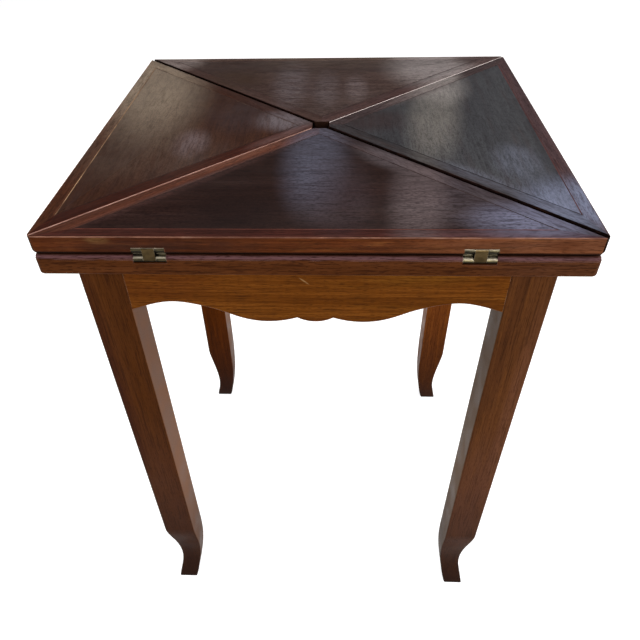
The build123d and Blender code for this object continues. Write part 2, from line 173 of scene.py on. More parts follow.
def add_node(
    tree: Tree,
    kind: str,
    inputs: dict[str | int, Any] | None = None,
    **settings: Any,
) -> Node:
    """Adds a shader node with its settings, values and links.

    Args:
        tree: The node tree that gets the node.
        kind: The node's type, without the leading "ShaderNode".
        inputs: Values, sockets or nodes by input name or place. A node is joined
            by the first of its outputs that is in use.
        **settings: Properties of the node itself.

    Returns:
        The new node.
    """
    node = tree.nodes.new("ShaderNode" + kind)
    for name, value in settings.items():
        setattr(node, name, value)
    for name, value in (inputs or {}).items():
        if isinstance(value, Node):
            value = next(socket for socket in value.outputs if socket.enabled)
        if isinstance(value, Socket):
            tree.links.new(value, node.inputs[name])
        else:
            node.inputs[name].default_value = value
    return node


def new_material(name: str) -> tuple[Material, Tree, Socket]:
    """Makes an empty node material.

    Args:
        name: The finish's name.

    Returns:
        The material, its node tree and the piece's own coordinates, in metres.
    """
    material = bpy.data.materials.new(name)
    material.use_nodes = True
    tree = material.node_tree
    tree.nodes.clear()
    return material, tree, add_node(tree, "TexCoord").outputs["Object"]


def finish_surface(
    tree: Tree,
    inputs: dict[str | int, Any],
    dull: tuple[Value, float, float] | None = None,
    relief: tuple[Value, float, float] | None = None,
) -> None:
    """Ends a material in the one shader that every finish of the table uses.

    Args:
        tree: The material's node tree.
        inputs: The shader's values, sockets and nodes by input name.
        dull: How dull the surface is, from 0 to 1, and its roughness at either end.
        relief: The shape of its fine marks, their height in millimetres, below 0
            where they are sunk, and how strongly they show.
    """
    if dull:
        mask, bright, dullest = dull
        ends = {"Value": mask, "To Min": bright, "To Max": dullest}
        inputs["Roughness"] = add_node(tree, "MapRange", ends)
    if relief:
        marks, height_mm, strength = relief
        inputs["Normal"] = add_node(tree, "Bump", {
            "Height": marks,
            "Strength": strength,
            "Distance": abs(height_mm) * MM,
        }, invert=height_mm < 0)
    shader = add_node(tree, "BsdfPrincipled", inputs)
    add_node(tree, "OutputMaterial", {"Surface": shader})


def pattern(
    tree: Tree,
    place: Value,
    size_mm: Triple,
    limits: Pair,
    strength: float = 1.0,
    detail: float = 2.0,
) -> Node:
    """A soft pattern of spots, drawn out along each axis to a real size.

    Args:
        tree: The material's node tree.
        place: The coordinates, in metres.
        size_mm: The spots' usual size along each axis.
        limits: The noise levels where a spot begins and where it is full.
        strength: The value inside a full spot.
        detail: How many finer layers break up the spots.

    Returns:
        A value from 0 between the spots to strength inside them.
    """
    scale = tuple(1 / (size * MM) for size in size_mm)
    spots = add_node(tree, "Mapping", {"Vector": place, "Scale": scale})
    cloud = add_node(tree, "TexNoise", {"Vector": spots, "Scale": 1.0, "Detail": detail})
    ends = {"Value": cloud, "From Min": limits[0], "From Max": limits[1], "To Max": strength}
    return add_node(tree, "MapRange", ends, interpolation_type="SMOOTHSTEP")


def layered(tree: Tree, ground: str, layers: list[tuple[Value, str]]) -> Node:
    """Lays colours over a ground colour, one after the other.

    Args:
        tree: The material's node tree.
        ground: The hex colour under everything.
        layers: Where each colour lies, from 0 to 1, and the hex colour itself.

    Returns:
        The colour of the whole.
    """
    under: Any = linear(ground)
    for mask, colour in layers:
        under = add_node(tree, "Mix", {0: mask, 6: under, 7: linear(colour)}, data_type="RGBA")
    return under


def hollows(tree: Tree, depth_mm: float, limits: Pair) -> Node:
    """Where painted shade and grime darken the hollows, by how little open view they have.

    Args:
        tree: The material's node tree.
        depth_mm: How far off a neighbouring surface still makes a hollow.
        limits: The shares of open view where the darkening is full and where it ends.

    Returns:
        A value from 0 on open faces to 1 deep in a hollow.
    """
    open_view = add_node(tree, "AmbientOcclusion", {"Distance": depth_mm * MM}, samples=8)
    ends = {"Value": open_view.outputs["AO"], "From Min": limits[1], "From Max": limits[0]}
    return add_node(tree, "MapRange", ends, interpolation_type="SMOOTHSTEP")


def rubbed_edges(tree: Tree, place: Value, width_mm: float, strength: float) -> Node:
    """Where hands and cloths have rubbed the arrises of a piece.

    Args:
        tree: The material's node tree.
        place: The coordinates that break up the wear, in metres.
        width_mm: How far the wear reaches from an arris.
        strength: The value where the wear is full.

    Returns:
        A value from 0 on flat faces to strength along rubbed arrises.
    """
    rounded = add_node(tree, "Bevel", {"Radius": width_mm * MM}, samples=6)
    flat = add_node(tree, "NewGeometry").outputs["Normal"]
    facing = add_node(tree, "VectorMath", {0: rounded, 1: flat}, operation="DOT_PRODUCT")
    arris = add_node(tree, "MapRange", {
        "Value": facing,
        "From Min": ARRIS_TURN[0],
        "From Max": ARRIS_TURN[1],
        "To Max": strength,
    })
    broken = pattern(tree, place, (24, 7, 7), (0.36, 0.6), detail=4)
    return add_node(tree, "Math", {0: arris, 1: broken}, operation="MULTIPLY")


@dataclass(frozen=True)
class Patch:
    """A patch of other colour: a painted sheen, painted light or shade, or a scratch.

    Attributes:
        centre: Its place in the frame of the table, in metres.
        reach: How far it spreads along each axis, in metres.
        colour: Its hex colour.
        strength: How fully that colour covers the wood at its middle, from 0 to 1.
        turn_deg: Its turn about the axes.
        smeared: How much of it is broken up into smears, from 0 to 1.
        full_share: The share of its reach inside which it is at full strength.
    """

    centre: Triple
    reach: Triple
    colour: str
    strength: float = 0.8
    turn_deg: Triple = (0.0, 0.0, 0.0)
    smeared: float = 0.5
    full_share: float = 0.25

    def mask(self, tree: Tree, place: Socket, smears: Node) -> Node:
        """Where the patch lies.

        Args:
            tree: The material's node tree.
            place: The piece's own coordinates.
            smears: The smears of the whole surface, from 0 to 1.

        Returns:
            A value from 0 outside to strength at the middle.
        """
        from_middle = add_node(tree, "Mapping", {
            "Vector": place,
            "Location": self.centre,
            "Rotation": tuple(math.radians(turn) for turn in self.turn_deg),
            "Scale": self.reach,
        }, vector_type="TEXTURE")
        distance = add_node(tree, "VectorMath", {0: from_middle}, operation="LENGTH")
        spread = add_node(tree, "MapRange", {
            "Value": distance,
            "From Min": 1.0,
            "From Max": self.full_share,
            "To Max": self.strength,
        }, interpolation_type="SMOOTHSTEP")
        broken = add_node(tree, "MapRange", {"Value": smears, "To Min": 1.0 - self.smeared})
        return add_node(tree, "Math", {0: spread, 1: broken}, operation="MULTIPLY")


@dataclass(frozen=True)
class Timber:
    """Planed and polished wood, drawn from the fibre and pores of its species.

    Attributes:
        name: The material's name.
        fibre: The direction of the grain.
        shift: Where in its log the board was cut, so that no two look alike.
        early: Colour of the lighter wood.
        late: Colour of the darker ribbons and streaks.
        pore: Colour of the open pores, filled with old polish.
        bare: Colour of wood that shows where the polish is rubbed off.
        flame: Colour of the glowing streaks that turn towards the light.
        ribbon_mm: Length and width of the broad ribbons.
        streak_mm: Length and width of the fine streaks.
        pore_mm: Length and width of a pore, drawn coarser than real ones, so that
            it shows.
        pore_limits: Noise levels that set how many pores show.
        contrast: How strongly ribbons, streaks, pores and glowing streaks show.
        wear: How much of the arrises is rubbed, from 0 to 1.
        wear_mm: How wide that wear is.
        patches: Painted sheens, painted light and shade, and scratches over the wood.
        foot_tone: Colour that the wood turns towards the floor.
        foot_tone_to_mm: How high that reaches, 0 for pieces that don't.
        foot_tone_strength: How fully it covers the wood at the floor.
        painted_inner_sheen: Colour of a painted pale sheen on the faces that turn
            sideways to the middle.
        painted_inner_sheen_strength: How fully it covers them, 0 for none.
        painted_inner_sheen_limits: How far from the middle such a face is where the
            painted sheen begins and where it is full, in metres.
        grime_and_shade: Colour of the grime and painted shade in the hollows.
        grime_and_shade_mm: How far a neighbour still makes a hollow, 0 for none.
        grime_and_shade_limits: The shares of open view where that darkening is full
            and where it ends.
        roughness: The polish where it is bright and where it is dull.
        gloss: The specular level, where 0.5 is a whole coat of polish.
        relief_mm: Depth of the pores in the surface.
    """

    name: str
    fibre: Fibre = Fibre.ALONG_X
    shift: Triple = (0.0, 0.0, 0.0)
    early: str = "#6a3c1c"
    late: str = "#472310"
    pore: str = "#241008"
    bare: str = "#b98d6c"
    flame: str = "#7a4420"
    ribbon_mm: Pair = (420.0, 16.0)
    streak_mm: Pair = (150.0, 2.2)
    pore_mm: Pair = (9.0, 0.6)
    pore_limits: Pair = (0.54, 0.66)
    contrast: Four = (0.6, 0.6, 0.6, 0.5)
    wear: float = 0.0
    wear_mm: float = 1.4
    patches: tuple[Patch, ...] = ()
    foot_tone: str = "#211615"
    foot_tone_to_mm: float = 0.0
    foot_tone_strength: float = 0.85
    painted_inner_sheen: str = "#94684d"
    painted_inner_sheen_strength: float = 0.0
    painted_inner_sheen_limits: Pair = (0.165, 0.195)
    grime_and_shade: str = "#0b0504"
    grime_and_shade_mm: float = 0.0
    grime_and_shade_limits: Pair = (0.25, 0.6)
    roughness: Pair = (0.3, 0.5)
    gloss: float = 0.02
    relief_mm: float = 0.05

    def board(self, tree: Tree, place: Socket) -> Node:
        """The coordinates of the board.

        Args:
            tree: The material's node tree.
            place: The piece's own coordinates.

        Returns:
            Those coordinates with the fibre along X.
        """
        board: Value = place
        if self.fibre is Fibre.ROUND_RIM:
            off_middle = add_node(tree, "VectorMath", {0: place}, operation="ABSOLUTE")
            across, along, _ = add_node(tree, "SeparateXYZ", {0: off_middle}).outputs
            beside = add_node(tree, "Math", {0: across, 1: along}, operation="GREATER_THAN")
            x, y, z = add_node(tree, "SeparateXYZ", {0: place}).outputs
            swapped = add_node(tree, "CombineXYZ", {0: y, 1: x, 2: z})
            board = add_node(tree, "Mix", {0: beside, 4: place, 5: swapped}, data_type="VECTOR")
        return add_node(tree, "Mapping", {
            "Vector": board,
            "Rotation": tuple(math.radians(turn) for turn in self.fibre.value),
            "Location": self.shift,
        })

    def grain(self, tree: Tree, board: Node) -> tuple[list[tuple[Value, str]], Node]:
        """The figure of the wood.

        Args:
            tree: The material's node tree.
            board: The coordinates with the fibre along X.

        Returns:
            The layers of colour over the early wood, and the pores alone.
        """
        ribbon, streak, pore, flame = self.contrast
        long, wide = self.ribbon_mm
        ribbons = pattern(tree, board, (long, wide, wide), (0.36, 0.64), ribbon, 4)
        flames = pattern(tree, board, (long / 3, wide / 2, wide / 2), (0.5, 0.7), flame, 3)
        long, wide = self.streak_mm
        streaks = pattern(tree, board, (long, wide, wide), (0.38, 0.64), streak, 3)
        long, wide = self.pore_mm
        hairs = pattern(tree, board, (long * 4, wide * 2, wide * 2), (0.5, 0.68), pore, 2)
        pores = pattern(tree, board, (long, wide, wide), self.pore_limits, pore, 1)
        layers = [
            (flames, self.flame),
            (ribbons, self.late),
            (streaks, self.late),
            (hairs, self.pore),
            (pores, self.pore),
        ]
        return layers, pores

    def inner_sheen_mask(self, tree: Tree, place: Socket, clouds: Node) -> Node:
        """Where a painted pale sheen lies on faces that turn sideways to the table's middle.

        Args:
            tree: The material's node tree.
            place: The piece's own coordinates.
            clouds: The clouds of the whole surface, from 0 to 1.

        Returns:
            A value from 0 on outer faces to the painted sheen's strength.
        """
        normal = add_node(tree, "TexCoord").outputs["Normal"]
        sideways = {0: place, 1: (-1.0, 0.0, 0.0)}
        inward = add_node(tree, "VectorMath", sideways, operation="MULTIPLY")
        facing = add_node(tree, "VectorMath", {0: inward, 1: normal}, operation="DOT_PRODUCT")
        inner = add_node(tree, "MapRange", {
            "Value": facing,
            "From Min": self.painted_inner_sheen_limits[0],
            "From Max": self.painted_inner_sheen_limits[1],
            "To Max": self.painted_inner_sheen_strength,
        })
        broken = add_node(tree, "MapRange", {"Value": clouds, "To Min": 0.7})
        return add_node(tree, "Math", {0: inner, 1: broken}, operation="MULTIPLY")

    def material(self) -> Material:
        """Makes the material of one board.

        Returns:
            The material.
        """
        material, tree, place = new_material(self.name)
        board = self.board(tree, place)
        layers, pores = self.grain(tree, board)
        clouds = pattern(tree, place, (55, 40, 40), (0.3, 0.7), detail=4)
        # The patches paint sheens, light and shade, and scratches into the colour
        if self.patches:
            smears = pattern(tree, board, (34, 5, 5), (0.3, 0.64), detail=4)
            under_hairs = len(layers) - 2
            layers[under_hairs:under_hairs] = [
                (patch.mask(tree, place, smears), patch.colour) for patch in self.patches
            ]
        # A painted pale sheen on the faces that turn inwards
        if self.painted_inner_sheen_strength:
            layers.append((self.inner_sheen_mask(tree, place, clouds), self.painted_inner_sheen))
        if self.foot_tone_to_mm:
            low = add_node(tree, "MapRange", {
                "Value": add_node(tree, "SeparateXYZ", {0: place}).outputs["Z"],
                "From Min": self.foot_tone_to_mm * MM,
                "From Max": 0.0,
                "To Max": self.foot_tone_strength,
            })
            layers.append((low, self.foot_tone))
        if self.wear:
            layers.append((rubbed_edges(tree, board, self.wear_mm, self.wear), self.bare))
        # Grime and painted shade darken the hollows
        if self.grime_and_shade_mm:
            layers.append((hollows(tree, self.grime_and_shade_mm, self.grime_and_shade_limits), self.grime_and_shade))
        finish_surface(
            tree,
            {"Base Color": layered(tree, self.early, layers), "Specular IOR Level": self.gloss},
            dull=(clouds, *self.roughness),
            relief=(pores, -self.relief_mm, 1.0),
        )
        return material


@dataclass(frozen=True)
class Brass:
    """Cast or turned brass whose lacquer has gone.

    Dull olive, black in the hollows with dirt and painted shade, pale on the tops of
    the knuckles with a painted highlight and dark under them with painted shade.

    Attributes:
        name: The material's name.
        tarnished: Colour of the dull metal.
        clean: Colour of the rubbed metal.
        bright: Colour of polished arrises and of the painted highlight on the knuckles.
        dirt_and_shade: Colour of the dirt and painted shade in the hollows and under them.
        top_highlight: How fully the painted highlight covers the knuckle tops, from 0 to 1.
        underside_shade: How fully painted shade covers their undersides, from 0 to 1.
        rim: How far from the table's middle the knuckles begin, in metres.
        roughness: The metal where it is dull and where it is rubbed.
    """

    name: str
    tarnished: str = "#38342a"
    clean: str = "#5f573f"
    bright: str = "#eadcc0"
    dirt_and_shade: str = "#060403"
    top_highlight: float = 0.85
    underside_shade: float = 0.9
    rim: float = 0.293
    roughness: Pair = (0.5, 0.28)

    def knuckle_side(self, tree: Tree, place: Socket, limits: Pair, strength: float) -> Node:
        """The upper or lower side of the knuckles, out at the rim of the folded table.

        Args:
            tree: The material's node tree.
            place: The piece's own coordinates.
            limits: Heights of the unit normal where the side begins and is full.
            strength: The value where it is full.

        Returns:
            A value from 0 elsewhere to strength.
        """
        normal = add_node(tree, "SeparateXYZ", {0: add_node(tree, "TexCoord").outputs["Normal"]})
        facing = add_node(tree, "MapRange", {
            "Value": normal.outputs["Z"],
            "From Min": limits[0],
            "From Max": limits[1],
            "To Max": strength,
        })
        off_middle = add_node(tree, "VectorMath", {0: place}, operation="ABSOLUTE")
        across, along, _ = add_node(tree, "SeparateXYZ", {0: off_middle}).outputs
        outward = add_node(tree, "Math", {0: across, 1: along}, operation="MAXIMUM")
        knuckle = add_node(tree, "Math", {0: outward, 1: self.rim}, operation="GREATER_THAN")
        return add_node(tree, "Math", {0: facing, 1: knuckle}, operation="MULTIPLY")

    def material(self) -> Material:
        """Makes the material.

        Returns:
            The material.
        """
        material, tree, place = new_material(self.name)
        rubbed = pattern(tree, place, (9, 9, 5), (0.36, 0.62), detail=5)
        spots = pattern(tree, place, (1.1, 1.1, 1.1), (0.6, 0.72), 0.6, detail=3)
        arrises = rubbed_edges(tree, place, 0.5, 0.9)
        dirt_and_shade = hollows(tree, 7.0, (0.34, 0.7))
        # A painted highlight on the tops of the knuckles and painted shade under them
        top_highlight = self.knuckle_side(tree, place, (0.5, 0.8), self.top_highlight)
        underside_shade = self.knuckle_side(tree, place, (0.3, -0.2), self.underside_shade)
        colour = layered(tree, self.tarnished, [
            (rubbed, self.clean),
            (spots, self.tarnished),
            (arrises, self.bright),
            (dirt_and_shade, self.dirt_and_shade),
            (underside_shade, self.dirt_and_shade),
            (top_highlight, self.bright),
        ])
        scratches = pattern(tree, place, (4.5, 0.16, 0.3), (0.45, 0.7), detail=2)
        # Less metallic under the painted highlight, so that its pale colour shows
        highlight_metallic = add_node(tree, "MapRange", {"Value": top_highlight, "To Min": 1.0, "To Max": 0.5})
        finish_surface(
            tree,
            {"Base Color": colour, "Metallic": highlight_metallic},
            dull=(rubbed, *self.roughness),
            relief=(scratches, 0.02, 0.6),
        )
        return material


@dataclass(frozen=True)
class DarkMetal:
    """Drawn steel or blackened cast iron, aged.

    Steel shows as grey metal with turning marks, iron as a dark grainy skin.

    Attributes:
        name: The material's name.
        skin: Colour of the aged surface.
        metal: Colour where the metal is rubbed clean.
        rust: Colour of the thin rust.
        grain_mm: Size of the marks in the surface.
        metallic: 1 for bare metal, less under a black skin.
        roughness: The surface where it is smoothest and where it is dullest.
    """

    name: str
    skin: str
    metal: str = "#a9a7a2"
    rust: str = "#5c3b28"
    grain_mm: float = 0.5
    metallic: float = 1.0
    roughness: Pair = (0.34, 0.54)

    def material(self) -> Material:
        """Makes the material.

        Returns:
            The material.
        """
        material, tree, place = new_material(self.name)
        grains = pattern(tree, place, (self.grain_mm,) * 3, (0.3, 0.7), detail=4)
        rusted = pattern(tree, place, (14, 14, 14), (0.52, 0.7), 0.55, detail=5)
        arrises = rubbed_edges(tree, place, 0.6, 0.6)
        colour = layered(tree, self.skin, [(rusted, self.rust), (arrises, self.metal)])
        finish_surface(
            tree,
            {"Base Color": colour, "Metallic": self.metallic},
            dull=(grains, *self.roughness),
            relief=(grains, self.grain_mm / 10, 0.7),
        )
        return material


@dataclass(frozen=True)
class WoolCloth:
    """Fulled wool: baize with a short nap, or pressed felt.

    The weave is hidden, so the eye sees a soft clouded nap with a pale sheen at
    low angles and faint fibres close up.

    Attributes:
        name: The material's name.
        ground: Colour of the cloth.
        light: Colour of fibres that lie towards the light.
        faded: Colour of cloth that the sun has reached.
        fibre_mm: Length and width of the drawn fibres, coarser than real ones.
        sheen: Strength of the pale sheen.
    """

    name: str
    ground: str = "#1f5a3a"
    light: str = "#2f7350"
    faded: str = "#4b7350"
    fibre_mm: Pair = (1.6, 0.22)
    sheen: float = 0.35

    def material(self) -> Material:
        """Makes the material.

        Returns:
            The material.
        """
        material, tree, place = new_material(self.name)
        length, width = self.fibre_mm
        along = pattern(tree, place, (length, width, width), (0.4, 0.7), 0.7, detail=2)
        across = pattern(tree, place, (width, length, width), (0.4, 0.7), 0.7, detail=2)
        nap = pattern(tree, place, (34, 26, 26), (0.35, 0.7), 0.35, detail=5)
        sunned = pattern(tree, place, (190, 150, 150), (0.45, 0.75), 0.3, detail=3)
        colour = layered(tree, self.ground, [
            (nap, self.light),
            (sunned, self.faded),
            (along, self.light),
            (across, self.ground),
        ])
        fibres = add_node(tree, "Math", {0: along, 1: across}, operation="ADD")
        finish_surface(tree, {
            "Base Color": colour,
            "Roughness": 0.95,
            "Specular IOR Level": 0.15,
            "Sheen Weight": self.sheen,
            "Sheen Roughness": 0.4,
        }, relief=(fibres, 0.12, 0.8))
        return material


# Pieces


def add_object(name: str, data: bpy.types.ID) -> Object:
    """Puts an object in the scene.

    Args:
        name: The object's name.
        data: Its mesh, lamp or lens.

    Returns:
        The new object.
    """
    made = bpy.data.objects.new(name, data)
    bpy.context.scene.collection.objects.link(made)
    return made


def place_piece(mesh: Mesh, node: str, body: str) -> Object:
    """Puts a new piece on its CAD body.

    Args:
        mesh: The piece's mesh, in the frame of the CAD model, with its name.
        node: The CAD node that it replaces.
        body: The CAD body that it moves with.

    Returns:
        The new object.
    """
    piece = add_object(mesh.name, mesh)
    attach(piece, body)
    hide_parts(node)
    log.info("%s: %d faces on %s", mesh.name, len(mesh.polygons), body)
    return piece


def node_surface(node: str, weld_mm: float = 0.002, flat_deg: float = 0.4) -> Surface:
    """The surface of a CAD node with its flat faces whole again.

    Args:
        node: The CAD node's name.
        weld_mm: Corners nearer than this become one.
        flat_deg: Faces that meet at less than this become one.

    Returns:
        An editable copy, whose owner frees it.
    """
    surface = bmesh.new()
    surface.from_mesh(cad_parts[node].data)
    bmesh.ops.remove_doubles(surface, verts=surface.verts, dist=weld_mm * MM)
    flat = math.radians(flat_deg)
    bmesh.ops.dissolve_limit(surface, angle_limit=flat, verts=surface.verts, edges=surface.edges)
    return surface


def mesh_from(surface: Surface, name: str, smooth_deg: float = 32.0) -> Mesh:
    """Ends the editing of a surface.

    Args:
        surface: The surface, which is freed.
        name: The mesh's name.
        smooth_deg: Edges sharper than this keep a crisp line.

    Returns:
        The mesh.
    """
    mesh = bpy.data.meshes.new(name)
    surface.normal_update()
    surface.to_mesh(mesh)
    surface.free()
    mesh.shade_smooth()
    mesh.set_sharp_from_angle(angle=math.radians(smooth_deg))
    return mesh


def dress_node(node: str, material: Material) -> None:
    """Gives a CAD node that keeps its own shape a better material.

    Args:
        node: The CAD node's name.
        material: Its material.
    """
    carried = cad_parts[node]
    carried.data.materials.clear()
    carried.data.materials.append(material)
    log.info("%s: %s", node, material.name)


def soften(piece: Object, width_mm: float, sharp_deg: float = 40.0) -> None:
    """Takes the sharp arrises off a piece.

    Args:
        piece: The piece.
        width_mm: Width of each rounded arris.
        sharp_deg: Edges sharper than this are rounded.
    """
    arris = piece.modifiers.new("arris", "BEVEL")
    arris.width = width_mm * MM
    arris.segments = 2
    arris.limit_method = "ANGLE"
    arris.angle_limit = math.radians(sharp_deg)
    arris.harden_normals = True


@dataclass(frozen=True)
class Trim:
    """The woods along one edge of a flap, by their lighter and darker colours.

    Attributes:
        band: The veneer band.
        line: The inlaid line.
        arris: The upper arris and its glints: pale with wear and a painted highlight on
        most edges, near white with a painted highlight on one, near black with
        painted shade on two.
        arris_mm: How wide it shows.
    """

    band: tuple[str, str]
    line: tuple[str, str] = ("#2f1f1b", "#221512")
    arris: tuple[str, str, str] | None = None
    arris_mm: float = 0.0


@dataclass(frozen=True)
class Border:
    """One straight edge of a flap, drawn on the front side.

    Attributes:
        edge: Which edge it is.
        inward: The unit direction from the edge into the flap.
        start: The edge's distance from the table's middle along inward.
        band: Width of the veneer band inside it.
        trim: Its woods.
    """

    edge: Edge
    inward: Pair
    start: float
    band: float
    trim: Trim

    @property
    def name(self) -> str:
        """The edge's name in the names of its woods."""
        return self.edge.value

    def depth(self, point: Vector) -> float:
        """How far a point lies inside the edge."""
        return self.inward[0] * point.x + self.inward[1] * point.y - self.start


@dataclass
class Flap:
    """A triangular flap: a veneered board with banding and a fine inlaid line.

    Attributes:
        side: The side that it is hinged to.
        seed: Shifts its veneers so that no two flaps look alike.
        outer_band_mm: Width of the band along the hinged edge.
        mitre_band_mm: Width of the bands along the two mitres.
        line_mm: Width of the inlaid line.
        line_depth_mm: How far the line has sunk.
        tip_mm: Half the width of the finger hole, and a little more.
        edge_mm: How far the moulded edges reach into the board.
        turned_mm: How far above the playing face its bands turn up the edges.
        joint_slack_mm: How near to a joint a corner counts as on it.
        strip_start: Where in the log the strips of the outer edge were cut.
        strip_step: How far apart in the log the strips of two edges were cut.
        tight_gap_mm: Gap of a tight mitre.
        wide_gap_mm: Gap of a wide mitre.
    """

    side: Side
    seed: float
    outer_band_mm: float = 16.0
    mitre_band_mm: float = 20.0
    line_mm: float = 1.3
    line_depth_mm: float = 0.15
    tip_mm: float = 13.0
    edge_mm: float = 6.5
    turned_mm: float = 0.6
    joint_slack_mm: float = 0.005
    strip_start: float = 0.05
    strip_step: float = 0.1
    tight_gap_mm: float = 0.6
    wide_gap_mm: float = 4.0
    borders: list[Border] = field(default_factory=list)

    def __post_init__(self) -> None:
        """Works out the flap's three edges from the frame."""
        low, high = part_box("bed_board")
        half = (high.x - low.x) / 2
        slope = math.sqrt(0.5)
        gaps = [self.tight_gap_mm, self.wide_gap_mm]
        if self.side.crosswise:
            gaps.reverse()
        edges = {
            Edge.OUTER: ((0.0, 1.0), -half, self.outer_band_mm * MM),
            Edge.LEFT: ((slope, -slope), gaps[0] / 2 * MM, self.mitre_band_mm * MM),
            Edge.RIGHT: ((-slope, -slope), gaps[1] / 2 * MM, self.mitre_band_mm * MM),
        }
        self.borders = [
            Border(edge, *sizes, TRIMS[self.side, edge]) for edge, sizes in edges.items()
        ]

    def cut(self, surface: Surface, faces: list[Face], normal: Vector, level: float) -> None:
        """Scores some faces along a line.

        Args:
            surface: The flap's surface, turned to the front.
            faces: The faces to score.
            normal: The level direction across the line.
            level: The line's place along that direction, times its length.
        """
        edges = {edge for face in faces for edge in face.edges}
        corners = {corner for face in faces for corner in face.verts}
        bmesh.ops.bisect_plane(
            surface,
            geom=[*corners, *edges, *faces],
            plane_co=normal * (level / normal.length_squared),
            plane_no=normal,
            dist=self.joint_slack_mm * MM,
        )

    def facing(self, surface: Surface, up: bool, height: float) -> list[Face]:
        """The level faces at a height.

        Args:
            surface: The flap's surface.
            up: True for faces that look up, False for those that look down.
            height: Their height.

        Returns:
            The faces.
        """
        sign = 1 if up else -1
        return [
            face
            for face in surface.faces
            if face.normal.z * sign > LEVEL and abs(face.calc_center_median().z - height) < SLACK
        ]

    def score(self, surface: Surface, up: bool, height: float) -> None:
        """Scores the joints between bands, line and field.

        Args:
            surface: The flap's surface, turned to the front.
            up: True for the outer face, False for the playing face.
            height: The face's height.
        """
        line = self.line_mm * MM
        for border in self.borders:
            normal = Vector((*border.inward, 0.0))
            depths = [border.band, border.band + line] if up else []
            if up and border.trim.arris:
                depths.append(border.trim.arris_mm * MM)
            for depth in depths:
                self.cut(surface, self.facing(surface, up, height), normal, border.start + depth)
        for one, other in zip(self.borders, self.borders[-1:] + self.borders[:-1]):
            a, b = (one.band, other.band) if up else (1.0, 1.0)
            seam = Vector((*one.inward, 0.0)) / a - Vector((*other.inward, 0.0)) / b
            level = one.start / a - other.start / b
            self.cut(surface, self.facing(surface, up, height), seam, level)
        if up:
            outside = [
                face
                for face in surface.faces
                if face.normal.y < -OUTWARD
                and self.borders[0].depth(face.calc_center_median()) < 2 * SLACK
            ]
            below = height - self.borders[0].trim.arris_mm * MM
            self.cut(surface, outside, Vector((0.0, 0.0, 1.0)), below)

    def part_of(self, face: Face, top: float, bottom: float) -> str:
        """Which piece of wood a face belongs to.

        Args:
            face: A face of the flap, turned to the front.
            top: Height of the outer face.
            bottom: Height of the playing face.

        Returns:
            The name of the piece of wood.
        """
        middle, upward = face.calc_center_median(), face.normal.z
        inside = min(self.borders, key=lambda border: border.depth(middle) - border.band)
        spare = inside.depth(middle) - inside.band
        if max(abs(middle.x), abs(middle.y)) < self.tip_mm * MM and abs(upward) < STEEP:
            return "left_edge"
        for border in self.borders:
            off_arris = max(border.depth(middle), top - middle.z)
            if border.trim.arris and off_arris < border.trim.arris_mm * MM:
                if upward > SLANTED or border.edge is Edge.OUTER:
                    return border.name + "_arris"
        if upward > LEVEL and middle.z > top - SLACK:
            if spare > self.line_mm * MM:
                return "field"
            if spare > 0:
                return inside.name + "_line"
        nearest = min(self.borders, key=lambda border: border.depth(middle) / border.band)
        if upward > SLOPED:
            return nearest.name + "_band"
        nearest = min(self.borders, key=lambda border: border.depth(middle))
        if upward < -SLOPED and middle.z < bottom + self.turned_mm * MM:
            return nearest.name + "_band"
        if nearest.depth(middle) < self.edge_mm * MM and abs(upward) < ROUNDED:
            return nearest.name + "_edge"
        return "core"

    def veneers(self) -> dict[str, Material]:
        """The woods of the flap.

        Returns:
            The materials by the name of the piece of wood.
        """
        label, sheens = self.side.label, PAINTED_SHEENS[self.side]
        mitres = [Fibre.RISING, Fibre.FALLING]
        if self.side.crosswise:
            mitres.reverse()
        whole = {"fibre": self.side.fibre, "shift": (0.0, 0.0, self.seed)}
        field_name = f"field_veneer_{label}"
        woods = {
            "field": replace(FIELDS[self.side], name=field_name, patches=sheens, **whole),
            "core": replace(CORE, name=f"flap_core_{label}", **whole),
        }
        for place, (border, fibre) in enumerate(zip(self.borders, [self.side.fibre, *mitres])):
            log_place = self.seed + self.strip_step * place + self.strip_start
            cut = {"fibre": fibre, "shift": (0.0, 0.0, log_place)}
            early, late = border.trim.band
            strips = {"band": replace(BAND, early=early, late=late, patches=sheens)}
            if border.trim.arris:
                early, late, flame = border.trim.arris
                strips["arris"] = replace(ARRIS, early=early, late=late, flame=flame)
            strips["edge"] = EDGE if border.edge is Edge.OUTER else MITRE
            early, late = border.trim.line
            strips["line"] = replace(LINE, early=early, late=late)
            for kind, wood in strips.items():
                name = f"{border.name}_{kind}"
                woods[name] = replace(wood, name=f"{name}_{label}", **cut)
        return {name: wood.material() for name, wood in woods.items()}

    def build(self) -> None:
        """Builds the veneered flap."""
        node = "flap_" + self.side.label
        low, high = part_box(node)
        surface = node_surface(node)
        surface.transform(self.side.to_front)
        surface.normal_update()
        self.score(surface, True, high.z)
        self.score(surface, False, low.z)
        woods = self.veneers()
        places = {name: place for place, name in enumerate(woods)}
        for face in surface.faces:
            face.material_index = places[self.part_of(face, high.z, low.z)]
        line_places = {places[border.name + "_line"] for border in self.borders}
        lines = [face for face in surface.faces if face.material_index in line_places]
        bmesh.ops.inset_region(
            surface,
            faces=lines,
            thickness=self.line_depth_mm * MM,
            depth=-self.line_depth_mm * MM,
            use_even_offset=True,
            use_boundary=True,
        )
        surface.transform(self.side.to_front.inverted())
        mesh = mesh_from(surface, "veneered_" + node)
        for material in woods.values():
            mesh.materials.append(material)
        place_piece(mesh, node, node)


